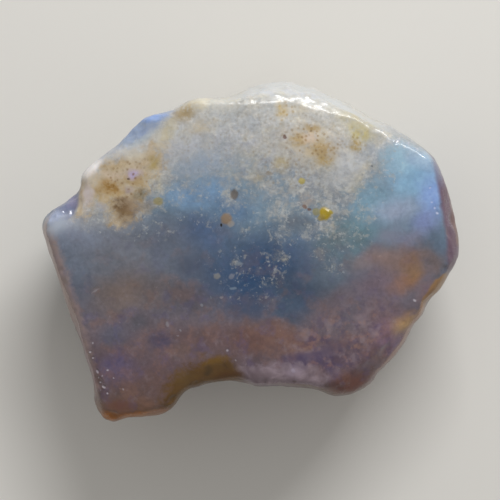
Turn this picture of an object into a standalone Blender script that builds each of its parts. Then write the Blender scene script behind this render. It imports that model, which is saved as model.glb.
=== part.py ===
"""Rough fire opal: one translucent stone that lies on its flat back, with its rubbed face up.

The face's outline was read off by eye, against a millimetre grid, and everything else is worked out from it:
a blank is cut to that outline, tapered towards its face and its back, chipped with planes and balls,
tumbled until the arrises are rounded, and rubbed flat underneath.
X runs to the right across the face, Y towards its pale upper edge, and Z up out of it.
The origin is under the middle of the stone, on the surface that it rests on.
"""

import math
import random

import bmesh
import bpy
import numpy as np
from mathutils import Matrix, Vector, noise

MM = 0.001

# Driving dimensions
THICKNESS = 10.0 * MM
RUBBED_OFF = 0.3 * MM
DOME_RADIUS = 95.0 * MM
GRID_STEP = 1.5 * MM
GRAIN = 0.22 * MM
TRIANGLE_SHARE = 0.075

# The outline of the face in millimetres, clockwise from the left corner
OUTLINE = [
    (-15.00, 1.70), (-14.80, 2.30), (-14.00, 3.00), (-13.25, 3.40), (-12.95, 3.75), (-12.22, 4.50),
    (-12.24, 5.15), (-12.05, 5.70), (-11.00, 6.55), (-9.70, 7.50), (-8.00, 9.35), (-7.70, 9.65),
    (-5.50, 10.17), (-4.50, 10.72), (-3.50, 10.95), (-2.40, 10.84), (0.50, 11.94), (1.60, 12.15),
    (2.50, 12.27), (3.70, 11.90), (4.80, 11.70), (5.30, 11.42), (8.00, 10.00), (9.60, 9.14),
    (10.05, 9.00), (10.65, 8.47), (11.40, 8.05), (12.50, 7.20), (13.10, 6.65), (14.55, 3.20),
    (14.96, 0.20), (14.98, -0.40), (14.60, -1.20), (13.70, -2.75), (13.50, -3.08), (12.90, -3.57),
    (12.20, -4.92), (11.85, -5.32), (11.05, -6.87), (10.20, -7.78), (9.70, -8.35), (9.05, -8.95),
    (8.80, -9.45), (6.20, -10.56), (4.60, -9.98), (3.00, -9.87), (2.00, -9.77), (0.50, -9.82),
    (-0.50, -9.43), (-1.70, -9.34), (-2.20, -9.46), (-3.30, -9.64), (-3.70, -9.85), (-4.30, -9.94),
    (-5.35, -10.80), (-5.45, -11.10), (-6.40, -11.75), (-9.00, -12.13), (-10.00, -12.35),
    (-10.85, -11.65), (-11.35, -9.20), (-13.60, -2.55), (-14.60, 0.10),
]

# How wide the stone is at each share of its height, as a share of its outline
WIDTH_AT_HEIGHT = [(0.0, 0.93), (0.20, 0.965), (0.38, 0.99), (0.54, 1.0), (0.72, 1.0), (0.88, 0.991), (1.0, 0.978)]

# Below this share of the height, the bumps of the outline fade into a smoother core
CORE_STARTS = 0.62
CORE_WINDOW_DEG = 38
CORE_SHARE = 0.97
CORE_FADE = 1.6

# The walls waver inwards, more the further they are above or below the widest levels
WIDEST_LEVELS = (0.50, 0.76)
WAVER_SIZE = 4.2 * MM
WAVER = 0.16
WAVER_STARTS = 0.2

# The widest line round the stone rises and falls: how far, how many times round, and where it starts
GIRDLE_WAVES = [(0.75 * MM, 2, 0.8), (0.45 * MM, 3, 2.1)]

# Soft swells: wide ones on the face, and smaller ones all over a surface that was never cut true
SWELL_SIZE = 7.0 * MM
SWELL = 0.35 * MM
UNEVEN_SIZE = 4.0 * MM
UNEVEN = 0.35 * MM
UNEVEN_LEVEL = 0.42
SOFTEN_ROUNDS = 6

# Flat chips on the face: a point on each one's upper edge, which way it faces, and how far it leans from level
FACE_CHIPS = {
    "top_bevel_left": ((1.6, 11.10), 92, 44),
    "top_bevel_right": ((6.8, 9.95), 65, 48),
    "top_corner_bevel": ((11.6, 7.70), 54, 46),
    "right_bevel": ((13.85, 1.6), 8, 58),
    "right_corner_bevel": ((13.35, -2.25), -42, 48),
    "foot_bevel": ((-8.2, -11.40), -84, 50),
    "left_bevel": ((-13.12, -2.9), 199.5, 64),
    "upper_left_edge_bevel": ((-10.9, 6.15), 126, 40),
}

# Hollow chips, as a struck stone keeps them: a point on each one's upper edge, which way it faces, how far it
# leans from level there, and the radius that it is hollowed to, in millimetres
FACE_SCOOPS = {
    "upper_left_scoop": ((-6.7, 8.25), 140, 40, 8.0),
    "bay_scoop": ((-2.4, -7.95), -86, 31, 9.5),
    "notch_scoop": ((12.25, -4.0), -20, 48, 3.2),
}

# The ledge at the left corner: its inner wall, its upper edge on the face, and how it leans
LEDGE_WALL_X = -12.15
LEDGE_EDGE = (-13.4, 2.15)
LEDGE_FACES = 104
LEDGE_LEAN = 38

# The back is chipped all round by a seeded run of hollow chips. Each range is read at random: how much of the
# outline's reach a chip starts at, its height, its turn aside, its lean, and its radius, in millimetres and degrees
BACK_CHIPS = 15
BACK_SEED = 31
BACK_JITTER = 0.35
BACK_REACH = (0.80, 0.91)
BACK_HEIGHT = (0.7, 2.6)
BACK_TURN = (-18, 18)
BACK_LEAN = (108, 146)
BACK_RADIUS = (7, 28)

BLOCK_SIZE = 60.0
BODY_COLOUR = (0.33, 0.38, 0.47, 1)
POLISH_ROUGHNESS = 0.22


def clear_scene():
    for obj in list(bpy.data.objects):
        bpy.data.objects.remove(obj, do_unlink=True)


def new_collection(name):
    made = bpy.data.collections.new(name)
    bpy.context.scene.collection.children.link(made)
    return made


def add_object(name, mesh, collection):
    obj = bpy.data.objects.new(name, mesh)
    collection.objects.link(obj)
    return obj


def outline_radius(angle):
    """How far the outline is from the middle in one direction, in millimetres."""
    angles = [math.atan2(y, x) for x, y in OUTLINE]
    reaches = [math.hypot(x, y) for x, y in OUTLINE]
    return float(np.interp(angle, angles, reaches, period=math.tau))


def core_ratio(angle):
    """The smoother core's reach as a share of the outline's. It never passes the outline."""
    window = np.radians(np.linspace(-CORE_WINDOW_DEG / 2, CORE_WINDOW_DEG / 2, 13))
    around = sum(outline_radius(angle + turn) for turn in window) / len(window)
    return min(1.0, CORE_SHARE * around / outline_radius(angle))


def outline_curve(collection):
    """The outline as a filled flat curve, as thick as the stone."""
    curve = bpy.data.curves.new("outline", "CURVE")
    curve.dimensions = "2D"
    curve.fill_mode = "BOTH"
    curve.resolution_u = 5
    curve.extrude = THICKNESS / 2
    spline = curve.splines.new("BEZIER")
    spline.bezier_points.add(len(OUTLINE) - 1)
    for point, (x, y) in zip(spline.bezier_points, OUTLINE):
        point.co = (x * MM, y * MM, 0)
        point.handle_left_type = point.handle_right_type = "AUTO"
    spline.use_cyclic_u = True
    return add_object("outline", curve, collection)


def slice_mesh(bm, axis, places):
    """Cuts new edges across the mesh at each place along an axis, and removes nothing."""
    normal = Vector([float(i == axis) for i in range(3)])
    for place in places:
        everything = bm.verts[:] + bm.edges[:] + bm.faces[:]
        bmesh.ops.bisect_plane(bm, geom=everything, dist=1e-7, plane_co=normal * place, plane_no=normal)


def width_share(height):
    """The taper at a share of the stone's height, read between the rows of WIDTH_AT_HEIGHT."""
    heights, shares = zip(*WIDTH_AT_HEIGHT)
    return float(np.interp(height, heights, shares))


def girdle_wave(angle):
    """How far the widest line round the stone rises and falls, so that it isn't level."""
    return sum(rise * math.sin(times * angle + start) for rise, times, start in GIRDLE_WAVES)


def wall_waver(point, height):
    """The share left of the width where the wall wavers inwards."""
    below, above = WIDEST_LEVELS
    away = max(below - height, height - above, 0.0)
    lump = 0.5 + 0.5 * noise.noise(point / WAVER_SIZE)
    return 1 - WAVER * away * max(0.0, lump - WAVER_STARTS)


def shaped(point):
    """Where a point of the straight-sided slab goes on the tapered, domed and gently uneven blank."""
    height = min(max(point.z / THICKNESS, 0), 1)
    angle = math.atan2(point.y, point.x)
    share = width_share(height)
    depth = max(0.0, 1 - height / CORE_STARTS)
    share *= 1 + (core_ratio(angle) - 1) * min(1.0, CORE_FADE * depth)
    share *= wall_waver(point, height)
    lift = girdle_wave(angle) * math.sin(math.pi * height)
    dome = (point.x**2 + point.y**2) / (2 * DOME_RADIUS) * height
    swell = noise.noise(Vector((point.x, point.y, 0)) / SWELL_SIZE) * SWELL * height
    floor = RUBBED_OFF * (1 - height)
    return Vector((point.x * share, point.y * share, point.z + lift - dome + swell - floor))


def blank_mesh(helpers):
    """The outline's slab, cut into a grid, and shaped."""
    slab = outline_curve(helpers)
    bpy.context.view_layer.update()
    graph = bpy.context.evaluated_depsgraph_get()
    mesh = bpy.data.meshes.new_from_object(slab.evaluated_get(graph))
    bpy.data.objects.remove(slab, do_unlink=True)

    bm = bmesh.new()
    bm.from_mesh(mesh)
    bmesh.ops.translate(bm, verts=bm.verts, vec=(0, 0, THICKNESS / 2))
    bmesh.ops.remove_doubles(bm, verts=bm.verts, dist=0.01 * MM)
    slice_mesh(bm, 0, np.arange(-9, 10) * GRID_STEP)
    slice_mesh(bm, 1, np.arange(-7, 8) * GRID_STEP)
    slice_mesh(bm, 2, [height * THICKNESS for height, _ in WIDTH_AT_HEIGHT[1:-1]])
    for vert in bm.verts:
        vert.co = shaped(vert.co)
    bmesh.ops.triangulate(bm, faces=bm.faces)
    bmesh.ops.recalc_face_normals(bm, faces=bm.faces)
    bm.to_mesh(mesh)
    bm.free()
    return mesh


def chip_place(point, faces_deg, lean_deg):
    """A matrix at point whose Z is the chip's outward normal."""
    turn = Matrix.Rotation(math.radians(faces_deg), 4, "Z")
    lean = Matrix.Rotation(math.radians(lean_deg), 4, "Y")
    return Matrix.Translation(Vector(point) * MM) @ turn @ lean


def add_cutter(name, bm, place, collection):
    mesh = bpy.data.meshes.new(name)
    bmesh.ops.recalc_face_normals(bm, faces=bm.faces)
    bm.to_mesh(mesh)
    bm.free()
    cutter = add_object(name, mesh, collection)
    cutter.matrix_world = place
    cutter.hide_render = True
    cutter.display_type = "WIRE"
    return cutter


def block_above():
    """A big block that stands on z = 0, whose underside is the plane of a flat chip."""
    bm = bmesh.new()
    bmesh.ops.create_cube(bm, size=BLOCK_SIZE * MM)
    bmesh.ops.translate(bm, verts=bm.verts, vec=(0, 0, BLOCK_SIZE * MM / 2))
    return bm


def flat_chip(name, point, faces_deg, lean_deg, collection):
    return add_cutter(name, block_above(), chip_place(point, faces_deg, lean_deg), collection)


def hollow_chip(name, point, faces_deg, lean_deg, radius, collection):
    """A ball that touches the chip's plane at point, so that the chip is hollow."""
    bm = bmesh.new()
    bmesh.ops.create_icosphere(bm, subdivisions=4, radius=radius * MM)
    bmesh.ops.translate(bm, verts=bm.verts, vec=(0, 0, radius * MM))
    return add_cutter(name, bm, chip_place(point, faces_deg, lean_deg), collection)


def ledge_chip(collection):
    """A block that stops at the ledge's inner wall, with its floor leaning out from the ledge's upper edge."""
    place = chip_place((*LEDGE_EDGE, face_height(*LEDGE_EDGE)), LEDGE_FACES, LEDGE_LEAN)
    bm = block_above()
    to_block = place.inverted()
    cut = bmesh.ops.bisect_plane(
        bm,
        geom=bm.verts[:] + bm.edges[:] + bm.faces[:],
        dist=1e-7,
        plane_co=to_block @ Vector((LEDGE_WALL_X * MM, 0, 0)),
        plane_no=to_block.to_3x3() @ Vector((1, 0, 0)),
        clear_outer=True,
    )
    rim = [item for item in cut["geom_cut"] if isinstance(item, bmesh.types.BMEdge)]
    bmesh.ops.contextual_create(bm, geom=rim)
    return add_cutter("left_ledge", bm, place, collection)


def face_height(x, y):
    """The height of the domed face over a point, in millimetres."""
    return (THICKNESS - ((x * MM) ** 2 + (y * MM) ** 2) / (2 * DOME_RADIUS)) / MM


def face_chips(collection):
    for name, ((x, y), faces_deg, lean_deg) in FACE_CHIPS.items():
        flat_chip(name, (x, y, face_height(x, y)), faces_deg, lean_deg, collection)
    for name, ((x, y), faces_deg, lean_deg, radius) in FACE_SCOOPS.items():
        hollow_chip(name, (x, y, face_height(x, y)), faces_deg, lean_deg, radius, collection)


def back_chips(collection):
    """Hollow chips all round the lower edge, each leaning under the stone by its own amount."""
    chance = random.Random(BACK_SEED)
    for number in range(BACK_CHIPS):
        angle = math.tau * (number + chance.uniform(-BACK_JITTER, BACK_JITTER)) / BACK_CHIPS
        reach = outline_radius(angle) * chance.uniform(*BACK_REACH)
        point = (reach * math.cos(angle), reach * math.sin(angle), chance.uniform(*BACK_HEIGHT))
        faces_deg = math.degrees(angle) + chance.uniform(*BACK_TURN)
        lean_deg = chance.uniform(*BACK_LEAN)
        radius = chance.uniform(*BACK_RADIUS)
        hollow_chip(f"back_chip_{number:02d}", point, faces_deg, lean_deg, radius, collection)


def opal_material():
    material = bpy.data.materials.new("opal")
    material.use_nodes = True
    shader = material.node_tree.nodes["Principled BSDF"]
    shader.inputs["Base Color"].default_value = BODY_COLOUR
    shader.inputs["Roughness"].default_value = POLISH_ROUGHNESS
    shader.inputs["Metallic"].default_value = 0.0
    return material


def uneven_texture():
    texture = bpy.data.textures.new("uneven", "CLOUDS")
    texture.noise_scale = UNEVEN_SIZE
    texture.noise_depth = 2
    return texture


def chip_and_tumble(stone, cutters, lap):
    """The chips are cut, the whole is tumbled smooth, and the back is rubbed flat."""
    chips = stone.modifiers.new("chips", "BOOLEAN")
    chips.operation = "DIFFERENCE"
    chips.operand_type = "COLLECTION"
    chips.collection = cutters
    chips.solver = "EXACT"

    tumble = stone.modifiers.new("tumble", "REMESH")
    tumble.mode = "VOXEL"
    tumble.voxel_size = GRAIN

    soften = stone.modifiers.new("soften", "SMOOTH")
    soften.factor = 0.5
    soften.iterations = SOFTEN_ROUNDS

    uneven = stone.modifiers.new("uneven", "DISPLACE")
    uneven.texture = uneven_texture()
    uneven.texture_coords = "LOCAL"
    uneven.strength = UNEVEN
    uneven.mid_level = UNEVEN_LEVEL

    thin_out = stone.modifiers.new("fewer_faces", "DECIMATE")
    thin_out.ratio = TRIANGLE_SHARE

    rub = stone.modifiers.new("rub_flat", "BOOLEAN")
    rub.operation = "DIFFERENCE"
    rub.object = lap
    rub.solver = "EXACT"


def main():
    clear_scene()
    opal = new_collection("rough_fire_opal")
    cutters = new_collection("chips")
    laps = new_collection("lap")
    stone = add_object("opal", blank_mesh(opal), opal)
    stone.data.materials.clear()
    stone.data.materials.append(opal_material())
    face_chips(cutters)
    ledge_chip(cutters)
    back_chips(cutters)
    flat_lap = flat_chip("flat_lap", (0, 0, 0), 0, 180, laps)
    chip_and_tumble(stone, cutters, flat_lap)


main()
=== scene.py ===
# %% [markdown]
# # A rough fire opal, lying face up on a pale table
#
# This lesson dresses one stone. Its solid is already made, and loads as a fixed frame. What is left is what
# makes an opal look like one: a soft, rubbed surface with chipped edges, milky clouds of blue and violet
# over a warm brown ground, and a pale sandy crust that thins out into the clear stone. Every length below
# is in metres. A value that is easier to read in millimetres says so, and is multiplied by MM.

# %% Load the fixed frame
import math
import random

import bmesh
import bpy
import numpy as np
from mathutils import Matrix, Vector, noise


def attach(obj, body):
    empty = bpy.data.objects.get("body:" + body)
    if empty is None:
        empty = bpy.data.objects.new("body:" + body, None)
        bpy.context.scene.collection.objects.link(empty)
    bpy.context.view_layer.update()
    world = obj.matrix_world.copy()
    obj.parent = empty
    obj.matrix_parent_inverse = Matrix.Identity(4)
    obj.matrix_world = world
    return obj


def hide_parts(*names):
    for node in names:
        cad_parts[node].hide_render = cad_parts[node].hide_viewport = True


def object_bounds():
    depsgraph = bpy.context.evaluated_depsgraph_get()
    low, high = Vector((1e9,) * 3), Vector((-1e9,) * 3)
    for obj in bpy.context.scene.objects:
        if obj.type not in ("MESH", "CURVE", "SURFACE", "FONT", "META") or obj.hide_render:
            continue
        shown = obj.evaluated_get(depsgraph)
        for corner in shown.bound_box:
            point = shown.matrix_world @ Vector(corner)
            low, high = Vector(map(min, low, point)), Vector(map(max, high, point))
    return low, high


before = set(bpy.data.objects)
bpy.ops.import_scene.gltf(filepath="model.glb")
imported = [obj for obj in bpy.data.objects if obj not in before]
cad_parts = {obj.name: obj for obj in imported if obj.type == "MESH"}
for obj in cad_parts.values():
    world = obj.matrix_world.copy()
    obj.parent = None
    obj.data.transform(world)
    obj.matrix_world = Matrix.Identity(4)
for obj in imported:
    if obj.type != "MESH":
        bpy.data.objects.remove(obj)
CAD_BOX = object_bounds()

MM = 0.001
print("nodes:", sorted(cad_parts))
print("box in mm:", [round(v / MM, 2) for corner in CAD_BOX for v in corner])

# %% [markdown]
# ## Two helpers
#
# Screens store colours as sRGB, and Blender's sockets want linear light, so one function turns a hex colour
# into linear red, green and blue. The other adds a node with its settings and its links in a single call,
# and hands back the output that the next node reads, which keeps a long material readable.

# %% Colour and node helpers
def linear(hex_colour):
    """The linear colour, with alpha 1, of an sRGB hex colour such as #8A6B50."""
    parts = [int(hex_colour[i:i + 2], 16) / 255 for i in (1, 3, 5)]
    return tuple(c / 12.92 if c <= 0.04045 else ((c + 0.055) / 1.055) ** 2.4 for c in parts) + (1.0,)


def add_node(tree, kind, settings, inputs, output=0):
    """Adds a node. Settings are its properties, inputs are values or sockets to link from."""
    node = tree.nodes.new(kind)
    for name, value in settings.items():
        setattr(node, name, value)
    for name, value in inputs.items():
        if isinstance(value, bpy.types.NodeSocket):
            tree.links.new(value, node.inputs[name])
        else:
            node.inputs[name].default_value = value
    return node.outputs[output]


# %% [markdown]
# ## The camera
#
# The stone was photographed square on to its face. A loose stone can't stand on its edge, so here it lies
# on its back, and the camera looks straight down with +Y at the top of the picture. A long lens from close
# by keeps the outline free of perspective, as a macro lens does. The lens follows from how many millimetres
# the picture spans at the height of the stone's widest line.

# %% Make the camera
PICTURE_SPAN = 36.14 * MM
WIDEST_LINE_HEIGHT = 6.0 * MM
CAMERA_DISTANCE = 180 * MM
SENSOR_MM = 36.0
CLIP_RANGE = (1 * MM, 10.0)

camera_data = bpy.data.cameras.new("macro_camera")
camera_data.sensor_width = SENSOR_MM
camera_data.lens = SENSOR_MM * CAMERA_DISTANCE / PICTURE_SPAN
camera_data.clip_start, camera_data.clip_end = CLIP_RANGE
camera = bpy.data.objects.new("macro_camera", camera_data)
camera.location = (0, 0, WIDEST_LINE_HEIGHT + CAMERA_DISTANCE)
bpy.context.scene.collection.objects.link(camera)
bpy.context.scene.camera = camera
print("lens in mm:", round(camera_data.lens, 1))

# %% [markdown]
# ## Table and light
#
# A pale matt table and a plain pale room keep the eye on the stone. A strip softbox stands beyond the
# crusted edge, low enough to glint along the bevels there and wide enough to follow the ridge round. The
# room fills the shadow. It isn't made any brighter than that, because the polished face mirrors what is
# above it, and a bright room would lay a grey haze over the dark colours. The standard view transform shows
# a surface's colour as it was typed, which suits matching colours.

# %% Table and room
TABLE_SIZE = 3.0
TABLE_GAP = 0.01 * MM
ROOM_STRENGTH = 0.42

scene = bpy.context.scene
scene.view_settings.view_transform = "Standard"

bpy.ops.mesh.primitive_plane_add(size=TABLE_SIZE, location=(0, 0, -TABLE_GAP))
table = bpy.context.object
table.name = "table"
matt_paint = bpy.data.materials.new("matt_pale_paint")
matt_paint.use_nodes = True
paint_shader = matt_paint.node_tree.nodes["Principled BSDF"]
paint_shader.inputs["Base Color"].default_value = linear("#DEDCD7")
paint_shader.inputs["Roughness"].default_value = 0.9
table.data.materials.append(matt_paint)

room = bpy.data.worlds.new("pale_room")
room.use_nodes = True
room.node_tree.nodes["Background"].inputs["Color"].default_value = linear("#FFFDFA")
room.node_tree.nodes["Background"].inputs["Strength"].default_value = ROOM_STRENGTH
scene.world = room

# %% Strip softbox
SOFTBOX_SIZE = (170 * MM, 45 * MM)
SOFTBOX_DISTANCE = 260 * MM
SOFTBOX_ELEVATION = math.radians(38)
SOFTBOX_AZIMUTH = math.radians(72)
SOFTBOX_RADIANCE = 22.0

softbox_data = bpy.data.lights.new("strip_softbox", "AREA")
softbox_data.shape = "RECTANGLE"
softbox_data.size, softbox_data.size_y = SOFTBOX_SIZE
softbox_data.energy = SOFTBOX_RADIANCE * math.pi * SOFTBOX_SIZE[0] * SOFTBOX_SIZE[1]
softbox = bpy.data.objects.new("strip_softbox", softbox_data)
towards_box = Vector((
    math.cos(SOFTBOX_AZIMUTH) * math.cos(SOFTBOX_ELEVATION),
    math.sin(SOFTBOX_AZIMUTH) * math.cos(SOFTBOX_ELEVATION),
    math.sin(SOFTBOX_ELEVATION),
))
softbox.location = towards_box * SOFTBOX_DISTANCE
softbox.rotation_euler = towards_box.to_track_quat("Z", "Y").to_euler()
scene.collection.objects.link(softbox)
print("softbox watts:", round(softbox_data.energy, 2))

# %% [markdown]
# ## A finer skin for the stone
#
# The frame's solid is faceted, which is right for weighing and resting it, and too coarse to look at.
# It could be sculpted, or subdivided, but subdividing triangles leaves the facets' pattern in the gloss.
# So a copy is remeshed into small even squares, and smoothed until the facets melt, as tumbling would.
# The face is what people look at, so only the squares that look up are then split once more.

# %% Remesh, smooth, and split the face
SKIN_STEP = 0.22 * MM
TUMBLE_ROUNDS = 8
TUMBLE_STRENGTH = 0.5
FACE_TILT = 0.72


def evaluated_mesh(obj):
    """A plain mesh of what an object's modifiers make of it."""
    graph = bpy.context.evaluated_depsgraph_get()
    return bpy.data.meshes.new_from_object(obj.evaluated_get(graph))


stone = bpy.data.objects.new("fire_opal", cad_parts["opal"].data.copy())
scene.collection.objects.link(stone)
skin = stone.modifiers.new("skin", "REMESH")
skin.mode = "VOXEL"
skin.voxel_size = SKIN_STEP
tumble = stone.modifiers.new("tumble", "SMOOTH")
tumble.factor = TUMBLE_STRENGTH
tumble.iterations = TUMBLE_ROUNDS
bpy.context.view_layer.update()
fine = evaluated_mesh(stone)
stone.modifiers.clear()

bm = bmesh.new()
bm.from_mesh(fine)
bm.normal_update()
face_edges = list({edge for face in bm.faces if face.normal.z > FACE_TILT for edge in face.edges})
bmesh.ops.subdivide_edges(bm, edges=face_edges, cuts=1, use_grid_fill=True)
bmesh.ops.smooth_vert(bm, verts=[v for v in bm.verts if v.normal.z > FACE_TILT], factor=TUMBLE_STRENGTH,
                      use_axis_x=True, use_axis_y=True, use_axis_z=True)
print("skin:", len(bm.verts), "points")

# %% [markdown]
# ## Bruises that catch the light
#
# A glint comes from a bruised spot a few tenths of a millimetre across, with a tiny facet that happens to
# mirror the lamp. A white dot painted alone would be wrong from every other side, so each is pressed into the
# mesh as a facet turned half-way between the softbox and the camera, and the gloss does the rest; later the
# bruises are also whitened, partly as bruised opal and partly as a painted glint. The facets are small beside
# the squares of the skin, so the skin is split once more round them.

# %% Split the skin where the bruises go
GLINTS = [
    # x, y, half width, in mm
    (-11.35, -7.26, 0.15), (-11.15, -7.66, 0.13), (-10.85, -8.64, 0.25), (-10.12, -8.54, 0.13),
    (-10.80, -9.10, 0.17), (-10.66, -9.42, 0.15), (-10.40, -9.75, 0.22), (-9.02, -9.90, 0.14),
    (-10.70, -9.98, 0.13), (-1.60, -7.10, 0.14), (-1.02, -7.80, 0.12), (11.70, -3.58, 0.20),
    (10.50, 7.75, 0.38), (11.92, 7.20, 0.16), (11.30, 7.60, 0.15), (13.30, 2.62, 0.16), (13.12, 2.98, 0.14),
    (-12.75, 2.65, 0.22), (7.62, 6.38, 0.13), (12.80, 4.42, 0.14), (12.92, 3.40, 0.14),
    (-9.70, -9.10, 0.11), (-11.15, -6.60, 0.12), (-10.50, -8.95, 0.11), (-10.15, -10.20, 0.12),
]
GLINT_MARGIN_MM = 0.12
MARK_FLOOR_MM = 5.0
MARK_TILT = 0.2

bm.normal_update()
near_glints = set()
for face in bm.faces:
    middle = face.calc_center_median() / MM
    if middle.z < MARK_FLOOR_MM or face.normal.z < MARK_TILT:
        continue
    if any(math.hypot(middle.x - x, middle.y - y) < half + GLINT_MARGIN_MM for x, y, half in GLINTS):
        near_glints.update(face.edges)
bmesh.ops.subdivide_edges(bm, edges=list(near_glints), cuts=1, use_grid_fill=True)
bm.to_mesh(fine)
bm.free()
stone.data = fine
triangles = sum(len(polygon.vertices) - 2 for polygon in fine.polygons)
print("split for glints:", len(near_glints), "edges;", triangles, "triangles")

# %% [markdown]
# ## Where the sandy crust lies
#
# The crust is the rind of the opal seam: fine pale sand cemented by the stone itself. It is thick along the
# upper edge and thins out downwards. Its lower limit is one line across the face, read in millimetres,
# with the distance over which it fades, and a few islands of sand lie below it. The same mask
# raises the grain here and colours it later on, so it is stored on the mesh's points as an attribute that
# the material reads.

# %% Measure the crust at each point
CRUST_LIMIT = [
    (-15.0, 2.8), (-12.3, 2.6), (-11.0, 2.2), (-10.0, 1.9), (-9.0, 1.9), (-8.0, 2.3), (-7.0, 2.8),
    (-6.0, 3.5), (-5.0, 4.4), (-4.0, 5.1), (-3.0, 5.2), (-2.0, 5.3), (-1.0, 5.2), (0.0, 4.8), (1.0, 4.1),
    (2.0, 3.6), (3.0, 3.5), (4.0, 2.5), (5.0, 1.6), (6.0, 0.9), (7.0, 2.1), (8.0, 3.8), (9.0, 5.6),
    (10.0, 7.4), (11.0, 9.0), (12.0, 10.5),
]
CRUST_FADE = [
    (-15.0, 1.2), (-9.0, 1.4), (-6.0, 3.2), (-3.0, 4.6), (0.0, 3.8), (3.0, 2.8), (7.0, 4.0), (9.0, 5.2),
    (12.0, 3.0),
]
SAND_ISLANDS = [
    # x, y, half width, half height, share
    (1.8, -0.5, 1.5, 1.1, 0.50), (5.3, -0.2, 1.4, 1.0, 0.40), (-1.0, -0.7, 1.1, 0.7, 0.38),
    (2.3, 1.0, 2.0, 1.3, 0.38), (4.3, 1.2, 2.0, 1.3, 0.36), (0.9, 2.2, 1.2, 0.9, 0.38),
    (-2.4, 2.8, 0.9, 0.7, 0.42), (-0.4, 1.3, 0.8, 0.5, 0.38),
    (-0.2, -1.6, 4.6, 4.2, 0.14), (-5.9, 2.4, 2.0, 1.3, 0.3), (-2.0, 3.6, 5.0, 2.2, 0.26),
    (-3.4, 4.7, 3.2, 1.2, 0.42),
]
ISLAND_FALL = (0.3, 1.0)


def point_array(mesh, field):
    """A mesh's point places or normals as rows of three numbers."""
    values = np.zeros(len(mesh.vertices) * 3, np.float32)
    mesh.vertices.foreach_get(field, values)
    return values.reshape(-1, 3).astype(float)


def smooth_step(low, high, values):
    """The values eased from 0 at low to 1 at high."""
    share = np.clip((values - low) / (high - low), 0, 1)
    return share * share * (3 - 2 * share)


places = point_array(fine, "co") / MM
normals = point_array(fine, "normal")
limit = np.interp(places[:, 0], *zip(*CRUST_LIMIT))
fade = np.interp(places[:, 0], *zip(*CRUST_FADE))
crust = np.clip(0.5 + (places[:, 1] - limit) / (2 * fade), 0, 1)
for x, y, half_x, half_y, share in SAND_ISLANDS:
    near = np.hypot((places[:, 0] - x) / half_x, (places[:, 1] - y) / half_y)
    crust = np.maximum(crust, share * (1 - smooth_step(*ISLAND_FALL, near)))
print("share of the points with crust:", round(float((crust > 0.5).mean()), 3))

# %% [markdown]
# ## Regions with an edge of their own
#
# Some parts of the stone have edges that a soft cloud can't give: the clear scoop and ledge where the crust
# broke away, the bevel along the right side, the honey-coloured band over the bay, the amber foot. Each is
# an outline of a few points in millimetres, seen from above. How far a point lies inside the outline
# becomes a mask on the mesh, and the material frays its edge later. Each mask belongs to the face, so down
# the walls it fades, and its sides grow soft.

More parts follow.
